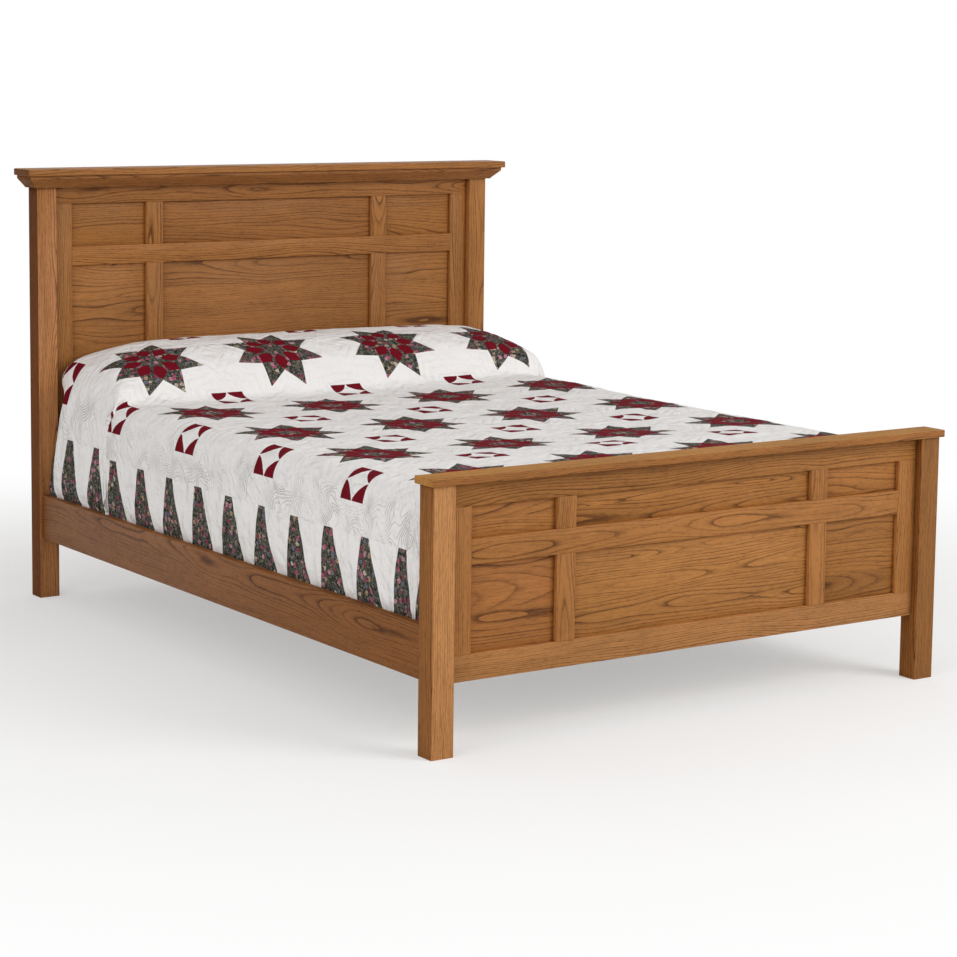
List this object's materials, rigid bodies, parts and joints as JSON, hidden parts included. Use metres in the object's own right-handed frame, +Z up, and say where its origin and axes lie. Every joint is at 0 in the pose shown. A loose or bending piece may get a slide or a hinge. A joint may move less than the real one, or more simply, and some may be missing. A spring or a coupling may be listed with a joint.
{
  "type": "panel bed",
  "caption": "Queen-size oak frame-and-panel bed with capped headboard and footboard, hook-on side rails, slats, box spring, mattress, pillows and patchwork quilt.",
  "frame": {"origin": "on the floor under the middle of the bed's outline", "axes": "+Z up, +Y from the footboard towards the headboard, +X towards the right side as seen from the foot"},
  "size_m": [1.704, 2.226, 1.294],
  "materials": {
    "oak": "satin lacquer over honey-brown stain",
    "oak_panel": "satin lacquer over honey-brown stain",
    "base_softwood": "planed, unfinished",
    "dowel_wood": "plain",
    "zinc_steel": "zinc plated",
    "quilt_cotton": "printed and quilted cotton",
    "pillow_cotton": "matte woven cotton",
    "mattress_ticking": "quilted ticking",
    "box_spring_ticking": "woven ticking"
  },
  "bodies": {
    "root": {"box_spring": "box_spring_ticking", "cap_dowels": "dowel_wood", "centre_support_legs": "base_softwood", "footboard_bottom_rail": "oak", "footboard_cap": "oak", "footboard_left_post": "oak", "footboard_left_stile": "oak", "footboard_lower_centre_panel": "oak_panel", "footboard_lower_left_muntin": "oak", "footboard_lower_left_panel": "oak_panel", "footboard_lower_right_muntin": "oak", "footboard_lower_right_panel": "oak_panel", "footboard_middle_rail": "oak", "footboard_right_post": "oak", "footboard_right_stile": "oak", "footboard_top_rail": "oak", "footboard_upper_centre_panel": "oak_panel", "footboard_upper_left_muntin": "oak", "footboard_upper_left_panel": "oak_panel", "footboard_upper_right_muntin": "oak", "footboard_upper_right_panel": "oak_panel", "headboard_bottom_rail": "oak", "headboard_cap": "oak", "headboard_crown_backer": "oak", "headboard_crown_front": "oak", "headboard_crown_left_return": "oak", "headboard_crown_right_return": "oak", "headboard_left_post": "oak", "headboard_left_stile": "oak", "headboard_lower_centre_panel": "oak_panel", "headboard_lower_left_muntin": "oak", "headboard_lower_left_panel": "oak_panel", "headboard_lower_right_muntin": "oak", "headboard_lower_right_panel": "oak_panel", "headboard_middle_rail": "oak", "headboard_right_post": "oak", "headboard_right_stile": "oak", "headboard_top_rail": "oak", "headboard_upper_centre_panel": "oak_panel", "headboard_upper_left_muntin": "oak", "headboard_upper_left_panel": "oak_panel", "headboard_upper_right_muntin": "oak", "headboard_upper_right_panel": "oak_panel", "left_pillow": "pillow_cotton", "left_side_rail": "oak", "left_slat_ledger": "base_softwood", "mattress": "mattress_ticking", "plate_screws": "zinc_steel", "post_slot_plates": "zinc_steel", "quilt": "quilt_cotton", "rail_hook_plates": "zinc_steel", "right_pillow": "pillow_cotton", "right_side_rail": "oak", "right_slat_ledger": "base_softwood", "slat_1": "base_softwood", "slat_2": "base_softwood", "slat_3": "base_softwood", "slat_4": "base_softwood", "slat_5": "base_softwood", "slat_base_screws": "zinc_steel"}
  },
  "joints": []
}
